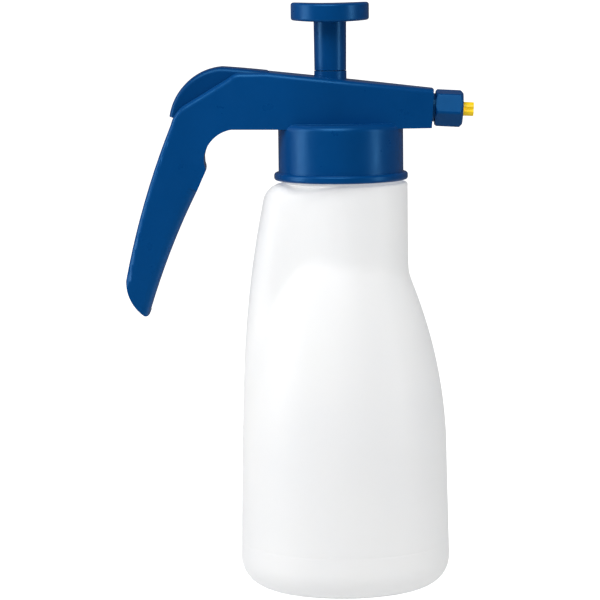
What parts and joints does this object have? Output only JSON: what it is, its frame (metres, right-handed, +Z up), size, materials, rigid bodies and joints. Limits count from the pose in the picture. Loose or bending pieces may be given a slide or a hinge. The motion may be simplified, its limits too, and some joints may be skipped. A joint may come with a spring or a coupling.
{
  "type": "compression sprayer",
  "caption": "Hand-pumped compression sprayer with a translucent blow-moulded bottle, screw-on pump head, thumb lever and adjustable cone nozzle.",
  "frame": {"origin": "on the bottle neck's axis, in the plane the bottle stands on", "axes": "+Z up along the neck, +X towards the nozzle, the handle at -X"},
  "size_m": [0.1934, 0.1166, 0.3253],
  "materials": {
    "tank_plastic": "translucent natural polyethylene, fine blow-moulded surface",
    "blue_plastic": "satin injection-moulded",
    "yellow_plastic": "semi-gloss moulded",
    "black_rubber": "smooth moulded seal",
    "natural_plastic": "natural moulded",
    "grey_plastic": "smooth drawn tube",
    "hose_plastic": "extruded clear hose",
    "spring_steel": "stainless wire"
  },
  "bodies": {
    "tank": {"bottle": "tank_plastic"},
    "gasket": {"neck_gasket": "black_rubber"},
    "head": {"head_body": "blue_plastic", "pump_cylinder": "natural_plastic", "rod_bush": "natural_plastic", "dip_tube": "hose_plastic", "suction_filter": "natural_plastic", "valve_body": "natural_plastic", "valve_plug": "natural_plastic", "valve_spring": "spring_steel", "stem_oring": "black_rubber", "valve_gland": "natural_plastic", "feed_hose": "hose_plastic", "delivery_hose": "hose_plastic", "relief_spring": "spring_steel", "relief_cap": "natural_plastic", "nozzle_stem": "blue_plastic", "swirl_core": "natural_plastic"},
    "pump": {"pump_knob": "blue_plastic", "pump_rod": "grey_plastic", "piston": "natural_plastic", "piston_seal": "black_rubber"},
    "check": {"check_valve": "black_rubber"},
    "lever": {"thumb_lever": "blue_plastic"},
    "valve": {"valve_stem": "natural_plastic", "valve_washer": "black_rubber"},
    "relief": {"relief_poppet": "natural_plastic"},
    "nozzle_seal": {"nozzle_oring": "black_rubber"},
    "nozzle_cap": {"nozzle_nut": "blue_plastic", "nozzle_tip": "yellow_plastic"}
  },
  "joints": [
    {"name": "head_lift", "type": "slide", "parent": "tank", "child": "gasket", "axis": [0, 0, 1], "range_m": [0, 0.009]},
    {"name": "head_turn", "type": "hinge", "parent": "gasket", "child": "head", "pos_m": [0, 0, 0.2502], "axis": [0, 0, 1], "range_deg": [0, 540]},
    {"name": "pump_stroke", "type": "slide", "parent": "head", "child": "pump", "axis": [0, 0, 1], "range_m": [0, 0.107]},
    {"name": "check_lift", "type": "slide", "parent": "head", "child": "check", "axis": [0, 0, -1], "range_m": [0, 0.001]},
    {"name": "lever_press", "type": "hinge", "parent": "head", "child": "lever", "pos_m": [-0.043, 0, 0.2819], "axis": [0, -1, 0], "range_deg": [0, 9.5], "stiffness_Nm_per_rad": 0.35, "springref_deg": -11.46},
    {"name": "valve_travel", "type": "slide", "parent": "head", "child": "valve", "axis": [0, 0, -1], "range_m": [0, 0.00183], "deforming": ["valve_spring"]},
    {"name": "relief_lift", "type": "slide", "parent": "head", "child": "relief", "axis": [0, 0, 1], "range_m": [0, 0.0012], "stiffness_N_per_m": 60, "springref_m": -0.004, "deforming": ["relief_spring"]},
    {"name": "nozzle_advance", "type": "slide", "parent": "head", "child": "nozzle_seal", "axis": [0.9984, 0, -0.0558], "range_m": [0, 0.002]},
    {"name": "nozzle_turn", "type": "hinge", "parent": "nozzle_seal", "child": "nozzle_cap", "pos_m": [0.0507, 0, 0.26675], "axis": [0.9984, 0, -0.0558], "range_deg": [0, 360]}
  ],
  "couplings": [
    {"joint": "head_lift", "follows": "head_turn", "m_per_rad": 0.00095493},
    {"joint": "valve_travel", "follows": "lever_press", "m_per_rad": 0.011},
    {"joint": "nozzle_turn", "follows": "nozzle_advance", "rad_per_m": 3141.6}
  ]
}
